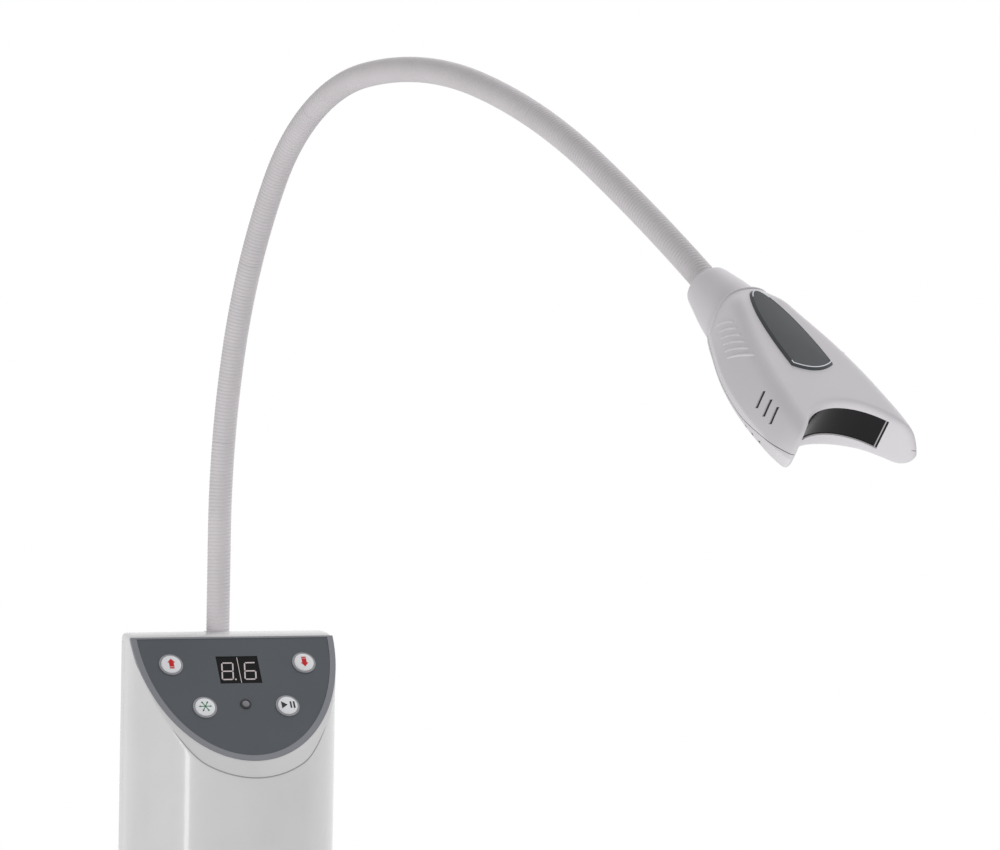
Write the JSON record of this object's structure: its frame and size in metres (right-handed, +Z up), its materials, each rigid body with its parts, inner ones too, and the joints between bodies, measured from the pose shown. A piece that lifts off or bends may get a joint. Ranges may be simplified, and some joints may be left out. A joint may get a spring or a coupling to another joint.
{
  "type": "teeth whitening lamp",
  "caption": "Control box with a sloped button panel, a flexible neck and an arched light head; the box clamps on a stand's pole.",
  "frame": {"origin": "centre of the pole socket's mouth, under the control box", "axes": "+Z up along the pole, -Y out of the control panel's side, +X to the right of someone facing the panel"},
  "size_m": [0.2475, 0.5554, 0.5964],
  "materials": {
    "box_plastic": "satin moulded",
    "panel_grey": "satin printed film",
    "bezel_grey": "satin",
    "digit_black": "glossy filled",
    "clear_lens": "clear moulded",
    "key_white": "smooth",
    "ring_grey": "satin",
    "board_green": "solder mask",
    "screw_steel": "zinc plated",
    "black_plastic": "moulded",
    "collar_metal": "powder coat",
    "nut_steel": "zinc plated",
    "neck_skin": "fine ribbed",
    "head_plastic": "satin moulded",
    "shield_dark": "polished",
    "shield_bright": "bright edge",
    "window_dark": "tinted polished",
    "reflector_white": "white",
    "light_board": "white mask",
    "sink_aluminium": "extruded"
  },
  "bodies": {
    "housing": {"front_housing": "box_plastic", "rear_cover": "box_plastic", "cover_screws": "screw_steel", "panel_bezel": "bezel_grey", "panel_faceplate": "panel_grey", "digit_tens": "digit_black", "digit_units": "digit_black", "display_header": "black_plastic", "indicator_lens": "clear_lens", "ring_up": "ring_grey", "ring_down": "ring_grey", "ring_start": "ring_grey", "ring_pause": "ring_grey", "control_board": "board_green", "board_screws": "screw_steel", "power_inlet": "black_plastic", "rocker_body": "black_plastic", "power_board": "board_green", "power_module": "black_plastic", "pole_collar": "collar_metal", "collar_screws": "screw_steel", "neck_flange": "black_plastic", "neck_nut": "nut_steel", "neck_link_0": "neck_skin"},
    "key_up": {"button_up": "key_white"},
    "key_down": {"button_down": "key_white"},
    "key_start": {"button_start": "key_white"},
    "key_pause": {"button_pause": "key_white"},
    "switch_rocker": {"rocker": "black_plastic"},
    "knob": {"clamp_knob": "black_plastic"},
    "neck_1": {"neck_link_1": "neck_skin"},
    "neck_2": {"neck_link_2": "neck_skin"},
    "neck_3": {"neck_link_3": "neck_skin"},
    "neck_4": {"neck_link_4": "neck_skin"},
    "neck_5": {"neck_link_5": "neck_skin"},
    "head": {"neck_link_6": "neck_skin", "head_collar": "head_plastic", "head_upper_shell": "head_plastic", "head_lower_shell": "head_plastic", "head_screws": "screw_steel", "shield_frame": "shield_bright", "shield_plate": "shield_dark", "light_window": "window_dark", "reflector": "reflector_white", "light_strip": "light_board", "heat_sink": "sink_aluminium", "fan_frame": "black_plastic"},
    "fan": {"fan_rotor": "black_plastic"}
  },
  "joints": [
    {"name": "press_up", "type": "slide", "parent": "housing", "child": "key_up", "axis": [0, 0.7716, -0.6361], "range_m": [0, 0.001], "stiffness_N_per_m": 400, "springref_m": -0.001},
    {"name": "press_down", "type": "slide", "parent": "housing", "child": "key_down", "axis": [0, 0.7716, -0.6361], "range_m": [0, 0.001], "stiffness_N_per_m": 400, "springref_m": -0.001},
    {"name": "press_start", "type": "slide", "parent": "housing", "child": "key_start", "axis": [0, 0.7716, -0.6361], "range_m": [0, 0.001], "stiffness_N_per_m": 400, "springref_m": -0.001},
    {"name": "press_pause", "type": "slide", "parent": "housing", "child": "key_pause", "axis": [0, 0.7716, -0.6361], "range_m": [0, 0.001], "stiffness_N_per_m": 400, "springref_m": -0.001},
    {"name": "rocker_tilt", "type": "hinge", "parent": "housing", "child": "switch_rocker", "pos_m": [0.024, 0.037, 0.066], "axis": [1, 0, 0], "range_deg": [0, 16]},
    {"name": "knob_turn", "type": "hinge", "parent": "housing", "child": "knob", "pos_m": [0, 0.027, 0.013], "axis": [0, 1, 0], "range_deg": [-360, 360]},
    {"name": "neck_bend_1", "type": "hinge", "parent": "housing", "child": "neck_1", "pos_m": [-0.0045, 0.029, 0.325], "axis": [0.9613, 0.2756, 0], "range_deg": [-15, 15]},
    {"name": "neck_sway_1", "type": "hinge", "parent": "neck_1", "child": "neck_2", "pos_m": [-0.001, 0.0168, 0.43301], "axis": [-0.2681, 0.9351, 0.2318], "range_deg": [-15, 15]},
    {"name": "neck_bend_2", "type": "hinge", "parent": "neck_2", "child": "neck_3", "pos_m": [0.01066, -0.02386, 0.53292], "axis": [0.9613, 0.2756, 0], "range_deg": [-15, 15]},
    {"name": "neck_sway_2", "type": "hinge", "parent": "neck_3", "child": "neck_4", "pos_m": [0.03538, -0.1101, 0.58811], "axis": [-0.0274, 0.0955, 0.9951], "range_deg": [-15, 15]},
    {"name": "neck_bend_3", "type": "hinge", "parent": "neck_4", "child": "neck_5", "pos_m": [0.06508, -0.21364, 0.57717], "axis": [0.9613, 0.2756, 0], "range_deg": [-15, 15]},
    {"name": "neck_sway_3", "type": "hinge", "parent": "neck_5", "child": "head", "pos_m": [0.09237, -0.30882, 0.53225], "axis": [0.144, -0.5023, 0.8526], "range_deg": [-15, 15]},
    {"name": "fan_spin", "type": "hinge", "parent": "head", "child": "fan", "pos_m": [0.13042, -0.44153, 0.43835], "axis": [0.223, -0.7777, -0.5878], "continuous": true}
  ],
  "couplings": [
    {"joint": "neck_bend_2", "follows": "neck_bend_1", "ratio": 1},
    {"joint": "neck_bend_3", "follows": "neck_bend_1", "ratio": 1},
    {"joint": "neck_sway_2", "follows": "neck_sway_1", "ratio": 1},
    {"joint": "neck_sway_3", "follows": "neck_sway_1", "ratio": 1}
  ]
}
